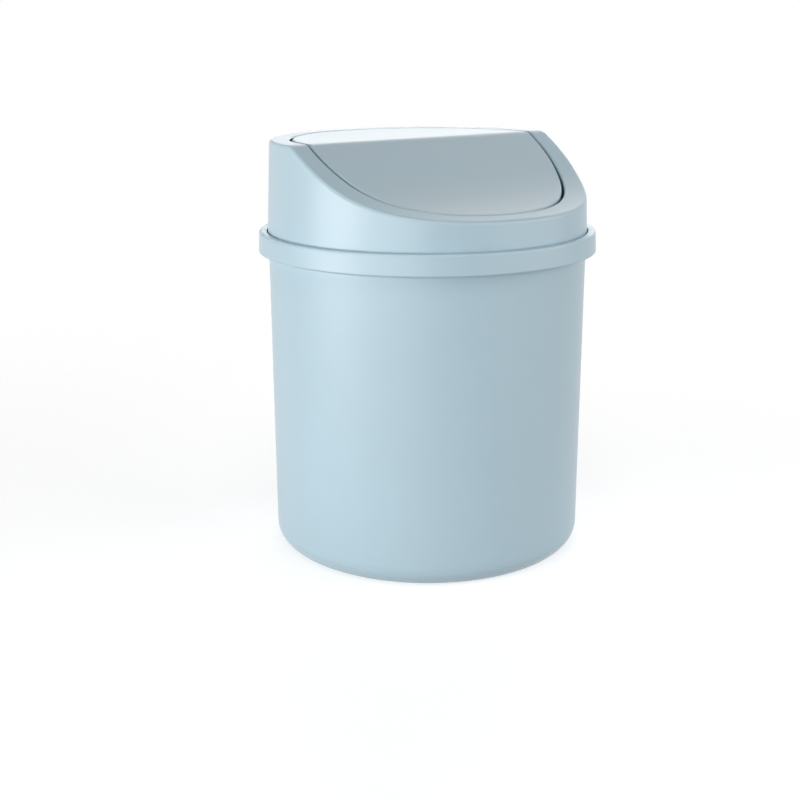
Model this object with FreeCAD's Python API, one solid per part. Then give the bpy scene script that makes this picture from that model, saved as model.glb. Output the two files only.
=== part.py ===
import FreeCAD, Part
import math
import os

# Desktop swing-lid bin in millimetres. It stands on z = 0 with its axis on Z, and its scooped front faces -Y.
# A bucket carries a lift-off hood in its collar, and a flap swings in the hood's mouth on two pins.

# Bucket: tapered round wall, rounded base edge, and a stepped-out collar round the mouth
bucket_height = 129.9
collar_diameter = 134.8
collar_band_height = 8.2
collar_draft = 0.4
collar_underside_rise = 0.4
collar_wall = 3.0
collar_edge_radius = 1.0
collar_lower_radius = 0.7
collar_root_radius = 0.8
collar_inner_edge_radius = 0.4
ledge_wall = 2.0
ledge_margin = 0.3
body_taper = 0.6
body_wall = 1.8
base_edge_radius = 8.6
floor_thickness = 2.0
foot_height = 1.2
foot_ring_width = 4.0
foot_edge_radius = 0.5

# Hood: a skirt that stands in the collar, a leaning wall, and a top that is flat behind and scooped in front
hood_rise = 35.4
skirt_clearance = 0.4
skirt_edge_radius = 0.5
hood_lean = 1.45
hood_wall = 1.8
hood_edge_radius = 1.5
ridge_setback = 1.6
ridge_inner_radius = 5.6
slope_angle = 30.5
scoop_radius = 90.0
lip_rise = 10.6
band_width = 7.9
mouth_edge_radius = 0.6
flange_wall = 1.6
flange_depth = 6.0

# Flap: a bent plate that lies flush in the mouth, with a stiffening rib set in from its edge
flap_gap = 1.1
flap_wall = 1.8
flap_edge_radius = 0.8
rib_inset = 4.4
rib_wall = 1.4
rib_depth = 7.0

# Pivot: a plain pin each side, pressed into the flap's ear and running in the hood's boss
pivot_drop = 5.6
pin_diameter = 3.0
pin_running_clearance = 0.06
pin_press = 0.01
pin_end_round = 0.5
pin_tip_gap = 0.5
ear_wall = 1.9
ear_length = 6.0
boss_wall = 2.3
boss_gap = 1.6

# How far a cutting body stands past what it cuts, and the shortest run that an outline keeps
overrun = 5.0
shortest_edge = 1e-6

# Worked-out sizes that more than one piece shares
overall_height = bucket_height + hood_rise
collar_radius = collar_diameter / 2
collar_top_radius = collar_radius - collar_draft
collar_inner_radius = collar_top_radius - collar_wall
collar_lower_height = bucket_height - collar_band_height
collar_root_height = collar_lower_height - collar_underside_rise
ledge_height = collar_root_height + ledge_wall
ledge_width = skirt_clearance + hood_wall + ledge_margin
skirt_radius = collar_inner_radius - skirt_clearance
hood_top_radius = skirt_radius - hood_lean
lip_height = bucket_height + lip_rise
ridge_radius = max(hood_wall, flap_wall) + ridge_inner_radius
slope = math.radians(slope_angle)
slope_run = (overall_height - lip_height) / math.tan(slope)
scoop_end = slope_run - ridge_setback + scoop_radius * math.tan(slope / 2)
reach = max(collar_radius, scoop_end) + overrun
mouth_radius = hood_top_radius - band_width
flap_radius = mouth_radius - flap_gap
pin_radius = pin_diameter / 2
pivot_height = overall_height - pivot_drop


# Outlines and solids of revolution
def rounded_face(corners, place):
    """Face inside a closed outline of straight runs, each corner (a, b, radius) rounded by its radius."""
    points = [place(a, b) for a, b, radius in corners]
    arcs = []
    for index, (a, b, radius) in enumerate(corners):
        corner = points[index]
        back = points[index - 1].sub(corner).normalize()
        ahead = points[(index + 1) % len(points)].sub(corner).normalize()
        half_angle = back.getAngle(ahead) / 2
        inward = back.add(ahead)
        if radius > 0:
            inward.normalize()
            tangent = radius / math.tan(half_angle)
            depth = radius / math.sin(half_angle) - radius
            arcs.append((corner + back * tangent, corner + inward * depth, corner + ahead * tangent))
        else:
            arcs.append((corner, corner, corner))
    edges = []
    for index, (start, middle, end) in enumerate(arcs):
        if start.distanceToPoint(end) > shortest_edge:
            edges.append(Part.Arc(start, middle, end).toShape())
        following = arcs[(index + 1) % len(arcs)][0]
        if end.distanceToPoint(following) > shortest_edge:
            edges.append(Part.LineSegment(end, following).toShape())
    return Part.Face(Part.Wire(edges))


def turned(corners):
    """Solid of revolution about Z from an outline of (radius, height, rounding) corners."""
    face = rounded_face(corners, lambda radius, height: FreeCAD.Vector(0, radius, height))
    return face.revolve(FreeCAD.Vector(0, 0, 0), FreeCAD.Vector(0, 0, 1), 360)


def disc(radius):
    """Upright round column on the bin's axis, from the floor to past the top."""
    return Part.makeCylinder(radius, overall_height + overrun)


# The top surface that hood and flap share
def below_top(drop):
    """Everything under the top surface sunk by drop along its normal: flat behind the ridge, sloped in
    front of it, and scooped out to the level lip."""
    shift = drop * math.tan(slope / 2)
    ridge_y = ridge_setback + shift
    corners = [
        (reach, 0, 0),
        (reach, overall_height - drop, 0),
        (ridge_y, overall_height - drop, max(ridge_radius - drop, 0)),
        (ridge_y - slope_run, lip_height - drop, scoop_radius + drop),
        (-reach, lip_height - drop, 0),
        (-reach, 0, 0),
    ]
    face = rounded_face(corners, lambda y, z: FreeCAD.Vector(-reach, y, z))
    return face.extrude(FreeCAD.Vector(2 * reach, 0, 0))


def lowered(shape, depth):
    """Copy of a shape moved straight down."""
    return shape.translated(FreeCAD.Vector(0, 0, -depth))


def top_rims(shape):
    """Edges where a face that looks upwards meets an upright one."""
    upward_share = 0.5
    rims = []
    for edge in shape.Edges:
        middle = edge.valueAt((edge.FirstParameter + edge.LastParameter) / 2)
        tilts = []
        for face in shape.ancestorsOfType(edge, Part.Face):
            tilts.append(face.normalAt(*face.Surface.parameter(middle)).z)
        if len(tilts) == 2 and max(tilts) > upward_share and abs(min(tilts)) < upward_share / 2:
            rims.append((math.hypot(middle.x, middle.y), edge))
    return rims


# Bucket
def body_radius(height):
    """Outer radius of the tapered body wall at a height."""
    top_radius = collar_inner_radius - ledge_width + body_wall
    return top_radius - body_taper * (1 - height / collar_root_height)


floor_height = foot_height + floor_thickness
foot_inner_radius = body_radius(0) - base_edge_radius - foot_ring_width
bucket = turned([
    (0, foot_height, 0),
    (foot_inner_radius, foot_height, foot_edge_radius),
    (foot_inner_radius, 0, foot_edge_radius),
    (body_radius(0), 0, base_edge_radius),
    (body_radius(collar_root_height), collar_root_height, collar_root_radius),
    (collar_radius, collar_lower_height, collar_lower_radius),
    (collar_top_radius, bucket_height, collar_edge_radius),
    (collar_inner_radius, bucket_height, collar_inner_edge_radius),
    (collar_inner_radius, ledge_height, 0),
    (body_radius(ledge_height) - body_wall, ledge_height, collar_inner_edge_radius),
    (body_radius(floor_height) - body_wall, floor_height, base_edge_radius - body_wall),
    (0, floor_height, 0),
])


# Flap without its ears, whose centre of gravity settles where the pins go
def pivot_lug(radius, start, length, along):
    """Lug beside the pivot axis: round below, straight-sided above up to the top surface."""
    pivot = FreeCAD.Vector(start, along, pivot_height)
    barrel = Part.makeCylinder(radius, length, pivot, FreeCAD.Vector(1, 0, 0))
    corner = FreeCAD.Vector(start, along - radius, pivot_height)
    return barrel.fuse(Part.makeBox(length, 2 * radius, pivot_drop, corner))


def both_sides(shape):
    """A right-hand shape with its mirror image on the left."""
    return shape.fuse(shape.mirror(FreeCAD.Vector(0, 0, 0), FreeCAD.Vector(1, 0, 0)))


flap_block = disc(flap_radius).common(below_top(0))
flap_block = flap_block.makeFillet(flap_edge_radius, [edge for reached, edge in top_rims(flap_block)])
rib = disc(flap_radius - rib_inset).cut(disc(flap_radius - rib_inset - rib_wall))
under_flap = below_top(flap_wall)
flap_hollow = under_flap.cut(rib.cut(lowered(under_flap, rib_depth)))
pivot_y = flap_block.cut(flap_hollow).CenterOfGravity.y

# Flap with its ears, which hang it from straight above its centre of gravity, so it comes to rest closed
ear_start = flap_radius - ear_length
ears = both_sides(pivot_lug(pin_radius + ear_wall, ear_start, ear_length, pivot_y))
pivot_start = FreeCAD.Vector(-reach, pivot_y, pivot_height)
pivot_way = FreeCAD.Vector(1, 0, 0)
ear_hole = Part.makeCylinder(pin_radius - pin_press, 2 * reach, pivot_start, pivot_way)
swing_flap = flap_block.cut(flap_hollow.cut(ears)).cut(ear_hole)


# Hood
def hood_turning(inset, bottom, edge_radius):
    """Round outer form of the hood set in by inset, from a bottom with a rounded edge to past the top."""
    past_top = skirt_radius - hood_lean * (hood_rise + overrun) / hood_rise
    return turned([
        (0, bottom, 0),
        (skirt_radius - inset, bottom, edge_radius),
        (skirt_radius - inset, bucket_height, 0),
        (past_top - inset, overall_height + overrun, 0),
        (0, overall_height + overrun, 0),
    ])


hood_block = hood_turning(0, ledge_height, skirt_edge_radius).common(below_top(0)).cut(disc(mouth_radius))
band_middle = (mouth_radius + hood_top_radius) / 2
outer_rims = [edge for reached, edge in top_rims(hood_block) if reached > band_middle]
hood_block = hood_block.makeFillet(hood_edge_radius, outer_rims)
mouth_rims = [edge for reached, edge in top_rims(hood_block) if reached < band_middle]
hood_block = hood_block.makeFillet(mouth_edge_radius, mouth_rims)
under_hood = below_top(hood_wall)
flange = disc(mouth_radius + flange_wall).cut(lowered(under_hood, flange_depth))
boss_end = hood_top_radius - hood_wall - boss_gap
boss_reach = mouth_radius - overrun
bosses = both_sides(pivot_lug(pin_radius + boss_wall, boss_reach, boss_end - boss_reach, pivot_y))
hood_hollow = hood_turning(hood_wall, ledge_height - overrun, 0).common(under_hood).cut(flange).cut(bosses)
boss_start = FreeCAD.Vector(-boss_end, pivot_y, pivot_height)
boss_hole = Part.makeCylinder(pin_radius + pin_running_clearance, 2 * boss_end, boss_start, pivot_way)
lid_hood = hood_block.cut(hood_hollow).cut(boss_hole)

# Pins, from the inner face of the ears to just inside the bosses
pin_end = boss_end - pin_tip_gap
right_pivot_pin = turned([
    (0, ear_start, 0),
    (pin_radius, ear_start, pin_end_round),
    (pin_radius, pin_end, pin_end_round),
    (0, pin_end, 0),
])
right_pivot_pin.rotate(FreeCAD.Vector(0, 0, 0), FreeCAD.Vector(0, 1, 0), 90)
right_pivot_pin.translate(FreeCAD.Vector(0, pivot_y, pivot_height))
left_pivot_pin = right_pivot_pin.mirror(FreeCAD.Vector(0, 0, 0), FreeCAD.Vector(1, 0, 0))

# One file for each piece
pieces = {
    "bucket": bucket,
    "lid_hood": lid_hood,
    "swing_flap": swing_flap,
    "left_pivot_pin": left_pivot_pin,
    "right_pivot_pin": right_pivot_pin,
}
os.makedirs("parts", exist_ok=True)
for name, shape in pieces.items():
    solid = shape.Solids[0] if len(shape.Solids) == 1 else shape
    solid.exportStep(f"parts/{name}.step")
    box = solid.BoundBox
    print(name, "valid", solid.isValid(), "solids", len(shape.Solids), "volume", round(solid.Volume, 1))
    print("  from", round(box.XMin, 2), round(box.YMin, 2), round(box.ZMin, 2))
    print("  to", round(box.XMax, 2), round(box.YMax, 2), round(box.ZMax, 2))
print("pivot axis at y", round(pivot_y, 4), "z", round(pivot_height, 4))
print("flap centre of gravity", swing_flap.CenterOfGravity)
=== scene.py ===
import bpy
import math
import numpy as np
from mathutils import Matrix, Vector


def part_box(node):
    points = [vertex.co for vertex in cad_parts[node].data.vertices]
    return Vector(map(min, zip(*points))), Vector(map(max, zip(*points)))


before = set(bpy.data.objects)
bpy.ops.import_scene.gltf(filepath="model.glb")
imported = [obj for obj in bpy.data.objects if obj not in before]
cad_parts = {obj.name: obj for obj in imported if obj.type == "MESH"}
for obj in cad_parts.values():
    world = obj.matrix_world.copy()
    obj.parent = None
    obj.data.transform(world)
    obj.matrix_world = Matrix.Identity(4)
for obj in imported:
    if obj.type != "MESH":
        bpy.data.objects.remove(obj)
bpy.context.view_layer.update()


# Bucket: the round tapered tub with its stepped-out collar, one injection moulding in pale grey-blue
# polypropylene. Outside it has the matt skin of a spark-eroded mould, inside the smoother finish of the
# core with faint upright draw marks, and it stands on a foot ring under its raised floor.
def shader_node(tree, kind, inputs, **settings):
    """Adds a node. Each input, by name or number, takes a plain value or the output that feeds it."""
    node = tree.nodes.new("ShaderNode" + kind)
    for setting, value in settings.items():
        setattr(node, setting, value)
    for socket, value in inputs.items():
        if isinstance(value, bpy.types.NodeSocket):
            tree.links.new(value, node.inputs[socket])
        else:
            node.inputs[socket].default_value = value
    return node


def arithmetic(tree, operation, first, second=0.0):
    """Result of one sum on two values."""
    return shader_node(tree, "Math", {0: first, 1: second}, operation=operation).outputs[0]


def easing(tree, value, low, high, start=0.0, end=1.0):
    """Smooth step: start where the value is below low, end above high, an S curve between."""
    limits = {"Value": value, "From Min": low, "From Max": high, "To Min": start, "To Max": end}
    return shader_node(tree, "MapRange", limits, interpolation_type="SMOOTHSTEP").outputs["Result"]


def noise(tree, position, scale, detail=2.0):
    """Even noise from 0 to 1, with scale lumps to the metre."""
    inputs = {"Vector": position, "Scale": scale, "Detail": detail}
    return shader_node(tree, "TexNoise", inputs).outputs["Fac"]


def shader_group(name, inputs, outputs):
    """Empty node group with named sockets, with the sockets that its inside reads from and writes to."""
    group = bpy.data.node_groups.new(name, "ShaderNodeTree")
    for direction, sockets in (("INPUT", inputs), ("OUTPUT", outputs)):
        for socket, kind in sockets.items():
            group.interface.new_socket(name=socket, in_out=direction, socket_type="NodeSocket" + kind)
    return group, group.nodes.new("NodeGroupInput").outputs, group.nodes.new("NodeGroupOutput").inputs


def make_eroded_skin():
    """Matt skin of a spark-eroded mould: fine pits of a given size, over lumps three times as wide."""
    lump_ratio = 3.0
    lump_share = 0.35
    group, given, result = shader_group(
        "eroded_skin", {"Position": "Vector", "Pit Size": "Float"}, {"Height": "Float"}
    )
    pits_to_metre = arithmetic(group, "DIVIDE", 1.0, given["Pit Size"])
    lumps_to_metre = arithmetic(group, "DIVIDE", pits_to_metre, lump_ratio)
    pits = arithmetic(group, "MULTIPLY", noise(group, given["Position"], pits_to_metre), 1 - lump_share)
    lumps = arithmetic(group, "MULTIPLY", noise(group, given["Position"], lumps_to_metre), lump_share)
    group.links.new(arithmetic(group, "ADD", pits, lumps), result["Height"])
    return group


def make_pigment_drift():
    """Slow drift of the pigment in the melt: the colour gets lighter and darker by a small share, in
    broad patches and in narrower ones. Patch is their sum, less its middle value."""
    broad_to_metre = 24.0
    narrow_to_metre = 160.0
    narrow_share = 0.5
    patch_middle = 0.5 + 0.5 * narrow_share
    group, given, result = shader_group(
        "pigment_drift",
        {"Position": "Vector", "Colour": "Color", "Drift": "Float"},
        {"Colour": "Color", "Patch": "Float"},
    )
    broad = noise(group, given["Position"], broad_to_metre)
    narrow = noise(group, given["Position"], narrow_to_metre)
    total = arithmetic(group, "ADD", broad, arithmetic(group, "MULTIPLY", narrow, narrow_share))
    patch = arithmetic(group, "SUBTRACT", total, patch_middle)
    swing = arithmetic(group, "MULTIPLY", patch, given["Drift"])
    lightness = arithmetic(group, "ADD", swing, 1.0)
    tinted = shader_node(group, "VectorMath", {0: given["Colour"], "Scale": lightness}, operation="SCALE")
    group.links.new(tinted.outputs["Vector"], result["Colour"])
    group.links.new(patch, result["Patch"])
    return group


def make_edge_highlight_and_rub():
    """Rounded upper edges, where the surface turns from upright to level, in patches: lighter there as a
    painted highlight, and smoother from hands that polish them.
    """
    upright, turning, turned, level = 0.12, 0.35, 0.68, 0.84
    patches_to_metre = 90.0
    patch_low, patch_high = 0.3, 0.7
    least_rub = 0.35
    group, given, result = shader_group(
        "edge_highlight_and_rub", {"Position": "Vector", "Upward": "Float"}, {"Mask": "Float"}
    )
    rising = easing(group, given["Upward"], upright, turning)
    falling = easing(group, given["Upward"], turned, level, 1.0, 0.0)
    patch_noise = noise(group, given["Position"], patches_to_metre)
    patches = easing(group, patch_noise, patch_low, patch_high, least_rub, 1.0)
    edge = arithmetic(group, "MULTIPLY", rising, falling)
    group.links.new(arithmetic(group, "MULTIPLY", edge, patches), result["Mask"])
    return group


def make_core_side():
    """Core side of a round wall: deeper than half the wall inside its outer face, whose radius grows with
    height at the given flare, above a floor, and not on a top that faces up where the piece has one.
    Its draw marks are narrow upright streaks: noise on the direction from the axis, slow up the height."""
    streaks_to_turn = 110.0
    streak_stretch = 14.0
    skin_walls_deep, core_walls_deep = 0.35, 0.65
    top_begins, top_full = 0.1, 0.3
    group, given, result = shader_group(
        "core_side",
        {
            "Position": "Vector", "Upward": "Float", "Top": "Float", "Floor": "Float",
            "Radius": "Float", "Flare": "Float", "Wall": "Float",
        },
        {"Mask": "Float", "Draw Marks": "Float"},
    )
    axes = shader_node(group, "SeparateXYZ", {"Vector": given["Position"]}).outputs
    sideways = shader_node(group, "CombineXYZ", {"X": axes["X"], "Y": axes["Y"]}).outputs["Vector"]
    radius = shader_node(group, "VectorMath", {0: sideways}, operation="LENGTH").outputs["Value"]
    widening = arithmetic(group, "MULTIPLY", axes["Z"], given["Flare"])
    outer = arithmetic(group, "ADD", given["Radius"], widening)
    depth = arithmetic(group, "SUBTRACT", outer, radius)
    walls_deep = arithmetic(group, "DIVIDE", depth, given["Wall"])
    within = easing(group, walls_deep, skin_walls_deep, core_walls_deep)
    above_floor = arithmetic(group, "GREATER_THAN", axes["Z"], given["Floor"])
    facing_up = easing(group, given["Upward"], top_begins, top_full)
    top = arithmetic(group, "MULTIPLY", facing_up, given["Top"])
    below_top = arithmetic(group, "SUBTRACT", 1.0, top)
    mask = arithmetic(group, "MULTIPLY", arithmetic(group, "MULTIPLY", within, above_floor), below_top)
    group.links.new(mask, result["Mask"])
    outward = shader_node(group, "VectorMath", {0: sideways}, operation="NORMALIZE").outputs["Vector"]
    heading = shader_node(group, "SeparateXYZ", {"Vector": outward}).outputs
    rise = arithmetic(group, "MULTIPLY", axes["Z"], streak_stretch / streaks_to_turn)
    around = {"X": heading["X"], "Y": heading["Y"], "Z": rise}
    along = shader_node(group, "CombineXYZ", around).outputs["Vector"]
    group.links.new(noise(group, along, streaks_to_turn), result["Draw Marks"])
    return group


eroded_skin = make_eroded_skin()
pigment_drift = make_pigment_drift()
edge_highlight_and_rub = make_edge_highlight_and_rub()
core_side = make_core_side()


def moulded_plastic(
    name, colour, wall_roughness, top_roughness, pit_size, radius, flare, wall, floor=0.0, top=1.0
):
    """Satin moulding: drifting pigment, pitted skin outside, shallower on walls that draw out of the mould
    than on a top that lifts off it, smoother core side with draw marks inside, and rounded upper edges a
    little lighter as a painted highlight, and smoother from handling."""
    wall_upward, top_upward = 0.35, 0.75
    pigment_swing = 0.05
    core_roughness = 0.27
    painted_edge_highlight = 0.05
    rub_smoothness = 0.05
    patch_roughness = 0.05
    relief_depth = 0.000018
    material = bpy.data.materials.new(name)
    material.use_nodes = True
    tree = material.node_tree
    coordinates = shader_node(tree, "TexCoord", {}).outputs
    position = coordinates["Object"]
    upward = shader_node(tree, "SeparateXYZ", {"Vector": coordinates["Normal"]}).outputs["Z"]
    skin = shader_node(tree, "Group", {"Position": position, "Pit Size": pit_size}, node_tree=eroded_skin)
    drift_inputs = {"Position": position, "Colour": (*colour, 1), "Drift": pigment_swing}
    drift = shader_node(tree, "Group", drift_inputs, node_tree=pigment_drift)
    highlight_and_rub = shader_node(tree, "Group", {"Position": position, "Upward": upward}, node_tree=edge_highlight_and_rub)
    core_inputs = {
        "Position": position, "Upward": upward, "Top": top, "Floor": floor,
        "Radius": radius, "Flare": flare, "Wall": wall,
    }
    core = shader_node(tree, "Group", core_inputs, node_tree=core_side)
    # Painted highlight: the rounded upper edges get a lighter colour, as the light would make them look.
    lightness = arithmetic(tree, "MULTIPLY_ADD", highlight_and_rub.outputs["Mask"], painted_edge_highlight)
    lightness.node.inputs[2].default_value = 1.0
    edge_highlighted_colour = shader_node(
        tree, "VectorMath", {0: drift.outputs["Colour"], "Scale": lightness}, operation="SCALE"
    )
    drawn = easing(tree, upward, wall_upward, top_upward, wall_roughness, top_roughness)
    patches = arithmetic(tree, "MULTIPLY", drift.outputs["Patch"], patch_roughness)
    patchy = arithmetic(tree, "ADD", drawn, patches)
    polish = arithmetic(tree, "MULTIPLY", highlight_and_rub.outputs["Mask"], rub_smoothness)
    skin_finish = arithmetic(tree, "SUBTRACT", patchy, polish)
    finish = shader_node(
        tree, "Mix", {"Factor": core.outputs["Mask"], "A": skin_finish, "B": core_roughness}
    )
    relief = shader_node(
        tree, "Mix",
        {"Factor": core.outputs["Mask"], "A": skin.outputs["Height"], "B": core.outputs["Draw Marks"]},
    )
    bump = shader_node(tree, "Bump", {"Height": relief.outputs["Result"], "Distance": relief_depth})
    shader = tree.nodes["Principled BSDF"]
    tree.links.new(edge_highlighted_colour.outputs["Vector"], shader.inputs["Base Color"])
    tree.links.new(finish.outputs["Result"], shader.inputs["Roughness"])
    tree.links.new(bump.outputs["Normal"], shader.inputs["Normal"])
    return material


grey_blue = (0.450, 0.597, 0.672)
bucket_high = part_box("bucket")[1]
body_base_radius = 0.0627
body_top_radius = 0.0633
body_flare = (body_top_radius - body_base_radius) / bucket_high.z
bucket_wall = 0.0018
bucket_floor_middle = 0.0022
bucket_pits = 0.00045
bucket_wall_roughness = 0.36
bucket_top_roughness = 0.47
bucket_satin = moulded_plastic(
    "bucket_satin", grey_blue, bucket_wall_roughness, bucket_top_roughness, bucket_pits,
    body_base_radius, body_flare, bucket_wall, bucket_floor_middle, top=0.0,
)
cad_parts["bucket"].data.materials[0] = bucket_satin

# Hood: the lift-off lid that stands in the bucket's collar, one thin-walled moulding of the same plastic.
# Its leaning wall is cut by the flat and scooped top, and a flange hangs inside round the flap's mouth.
hood_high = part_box("lid_hood")[1]
hood_lean = 0.00145
hood_wall = 0.0018
hood_flare = -hood_lean / (hood_high.z - bucket_high.z)
hood_pits = 0.00045
hood_wall_roughness = 0.34
hood_top_roughness = 0.47
hood_satin = moulded_plastic(
    "hood_satin", grey_blue, hood_wall_roughness, hood_top_roughness, hood_pits,
    hood_high.x - hood_flare * bucket_high.z, hood_flare, hood_wall,
)
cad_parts["lid_hood"].data.materials[0] = hood_satin

# Swing flap: a bent plate that lies flush in the hood's mouth and tips on its two pins, moulded in the
# same plastic, coloured slightly greyer than the bucket and hood, with a coarser matt skin, and stiffened
# below by a rib.
flap_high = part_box("swing_flap")[1]
flap_wall = 0.0018
flap_pits = 0.0006
flap_grey_blue = (0.470, 0.597, 0.665)
flap_edge_roughness = 0.44
flap_top_roughness = 0.46
flap_satin = moulded_plastic(
    "flap_satin", flap_grey_blue, flap_edge_roughness, flap_top_roughness, flap_pits,
    flap_high.x, flare=0.0, wall=flap_wall,
)
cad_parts["swing_flap"].data.materials[0] = flap_satin

# Pivot pins: two short plain pins of natural nylon, pressed into the flap's ears and running in the
# hood's bosses, smooth from their mould and out of sight when the bin is shut. They have no core side, so
# their wall is set deeper than a pin reaches in.
natural_nylon = (0.74, 0.76, 0.76)
pin_pits = 0.0003
pin_roughness = 0.35
pin_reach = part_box("right_pivot_pin")[1].x
pin_plastic = moulded_plastic(
    "pin_plastic", natural_nylon, pin_roughness, pin_roughness, pin_pits,
    pin_reach, flare=0.0, wall=2 * pin_reach,
)
for side in ("left", "right"):
    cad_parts[f"{side}_pivot_pin"].data.materials[0] = pin_plastic


# Floor: a seamless white paper sweep, with the faint tooth of the paper. It takes the bin's shadow and
# lights it from below, and thins out to the white surroundings before its edge.
def disc_sheet(name, radius, turns, rings):
    """Flat disc on z = 0: rings of points at radius times the square of an even step, so that they are
    closest at the middle, joined by quads, with a fan of triangles round the centre point."""
    angles = np.linspace(0, 2 * np.pi, turns, endpoint=False)
    radii = radius * np.linspace(0, 1, rings + 1)[1:] ** 2
    across = np.outer(radii, np.cos(angles))
    deep = np.outer(radii, np.sin(angles))
    rim_points = np.stack([across, deep, np.zeros((rings, turns))], -1).reshape(-1, 3)
    points = np.concatenate([np.zeros((1, 3)), rim_points])
    here = np.arange(turns)
    ahead = np.roll(here, -1)
    ring = 1 + turns * np.arange(rings - 1)[:, None]
    quads = np.stack([ring + here, ring + turns + here, ring + turns + ahead, ring + ahead], -1)
    fan = np.stack([np.zeros(turns, int), 1 + here, 1 + ahead], -1)
    mesh = bpy.data.meshes.new(name)
    mesh.from_pydata(points.tolist(), [], fan.tolist() + quads.reshape(-1, 4).tolist())
    sheet = bpy.data.objects.new(name, mesh)
    bpy.context.collection.objects.link(sheet)
    return sheet


def seen_directly(tree):
    """1 for rays from the camera, and for those that metal, gloss or glass send on, else 0."""
    path = shader_node(tree, "LightPath", {}).outputs
    gloss = arithmetic(tree, "MAXIMUM", path["Is Glossy Ray"], path["Is Transmission Ray"])
    return arithmetic(tree, "MAXIMUM", path["Is Camera Ray"], gloss)


floor_radius = 1.5
floor_fade_start, floor_fade_end = 0.20, 0.60
floor_white = 0.6
floor_glow = 0.67
paper_roughness = 0.9
paper_tooth = 0.0008
paper_tooth_depth = 0.00002
floor = disc_sheet("floor", floor_radius, turns=96, rings=24)
paper = bpy.data.materials.new("floor_paper")
paper.use_nodes = True
paper_tree = paper.node_tree
paper_place = shader_node(paper_tree, "TexCoord", {}).outputs["Object"]
paper_skin = shader_node(
    paper_tree, "Group", {"Position": paper_place, "Pit Size": paper_tooth}, node_tree=eroded_skin
)
paper_bump = shader_node(
    paper_tree, "Bump", {"Height": paper_skin.outputs["Height"], "Distance": paper_tooth_depth}
)
paper_shader = paper_tree.nodes["Principled BSDF"]
paper_shader.inputs["Base Color"].default_value = (floor_white, floor_white, floor_white, 1)
paper_shader.inputs["Roughness"].default_value = paper_roughness
paper_shader.inputs["Specular IOR Level"].default_value = 0.0
paper_shader.inputs["Emission Color"].default_value = (1, 1, 1, 1)
glow = arithmetic(paper_tree, "MULTIPLY", seen_directly(paper_tree), floor_glow)
paper_tree.links.new(glow, paper_shader.inputs["Emission Strength"])
paper_tree.links.new(paper_bump.outputs["Normal"], paper_shader.inputs["Normal"])
away = shader_node(paper_tree, "VectorMath", {0: paper_place}, operation="LENGTH").outputs["Value"]
thinned = shader_node(
    paper_tree, "MixShader",
    {
        0: easing(paper_tree, away, floor_fade_start, floor_fade_end),
        1: paper_shader.outputs["BSDF"],
        2: shader_node(paper_tree, "BsdfTransparent", {}).outputs["BSDF"],
    },
)
paper_tree.links.new(thinned.outputs["Shader"], paper_tree.nodes["Material Output"].inputs["Surface"])
floor.data.materials.append(paper)

# Studio light: two softboxes low on the left, a wide one on the right, a small one above the front, and one
# behind that the level top mirrors, in white surroundings that are dimmer as a light than as a background.
ambient = 0.02
surroundings = bpy.data.worlds.new("white_surroundings")
surroundings.use_nodes = True
world_tree = surroundings.node_tree
world_level = shader_node(
    world_tree, "MapRange", {"Value": seen_directly(world_tree), "To Min": ambient, "To Max": 1.0}
)
background = world_tree.nodes["Background"]
background.inputs["Color"].default_value = (1, 1, 1, 1)
world_tree.links.new(world_level.outputs["Result"], background.inputs["Strength"])
bpy.context.scene.world = surroundings
light_target = Vector((0, 0, 0.09))


def round_the_bin(azimuth, distance, height):
    """Place at a distance from the axis, by degrees from the front towards the left-hand side."""
    turn = math.radians(azimuth)
    return Vector((-distance * math.sin(turn), -distance * math.cos(turn), height))


def softbox(name, place, width, height, watts):
    """Rectangular area lamp that faces the bin and isn't seen by the camera."""
    lamp = bpy.data.lights.new(name, "AREA")
    lamp.shape = "RECTANGLE"
    lamp.size = width
    lamp.size_y = height
    lamp.energy = watts
    lamp_object = bpy.data.objects.new(name, lamp)
    lamp_object.location = place
    lamp_object.rotation_euler = (light_target - place).to_track_quat("-Z", "Y").to_euler()
    lamp_object.visible_camera = False
    bpy.context.collection.objects.link(lamp_object)


softbox(
    "left_softbox", round_the_bin(azimuth=73, distance=1.19, height=0.257),
    width=1.6, height=0.6, watts=10.0,
)
softbox(
    "left_low_softbox", round_the_bin(azimuth=101, distance=1.2, height=0.09),
    width=0.8, height=0.4, watts=5.2,
)
softbox(
    "right_softbox", round_the_bin(azimuth=-38, distance=1.15, height=0.42),
    width=1.4, height=1.0, watts=9.1,
)
softbox(
    "top_softbox", round_the_bin(azimuth=36, distance=0.69, height=1.07),
    width=0.5, height=0.5, watts=2.3,
)
softbox(
    "rear_softbox", round_the_bin(azimuth=220, distance=1.13, height=0.47),
    width=0.9, height=0.7, watts=5.9,
)

# Camera: a little to the left of the front and above the lid, placed so that the bin's lines fall where
# they do in the photograph of 800 by 800 pixels.
camera_azimuth = 36.19
camera_distance = 0.5397
camera_height = 0.2080
camera_pitch = 15.53
camera_yaw = 1.175
camera_roll = -0.178
image_width_px = 800
focal_length_px = 1348
camera = bpy.data.cameras.new("camera")
camera.lens = focal_length_px / image_width_px * camera.sensor_width
camera_object = bpy.data.objects.new("camera", camera)
standpoint = Matrix.Translation(round_the_bin(camera_azimuth, camera_distance, camera_height))
heading = Matrix.Rotation(math.radians(camera_yaw - camera_azimuth), 4, "Z")
tilt = Matrix.Rotation(math.radians(90 - camera_pitch), 4, "X")
roll = Matrix.Rotation(math.radians(camera_roll), 4, "Z")
camera_object.matrix_world = standpoint @ heading @ tilt @ roll
bpy.context.collection.objects.link(camera_object)
bpy.context.scene.camera = camera_object
bpy.context.scene.view_settings.view_transform = "Standard"
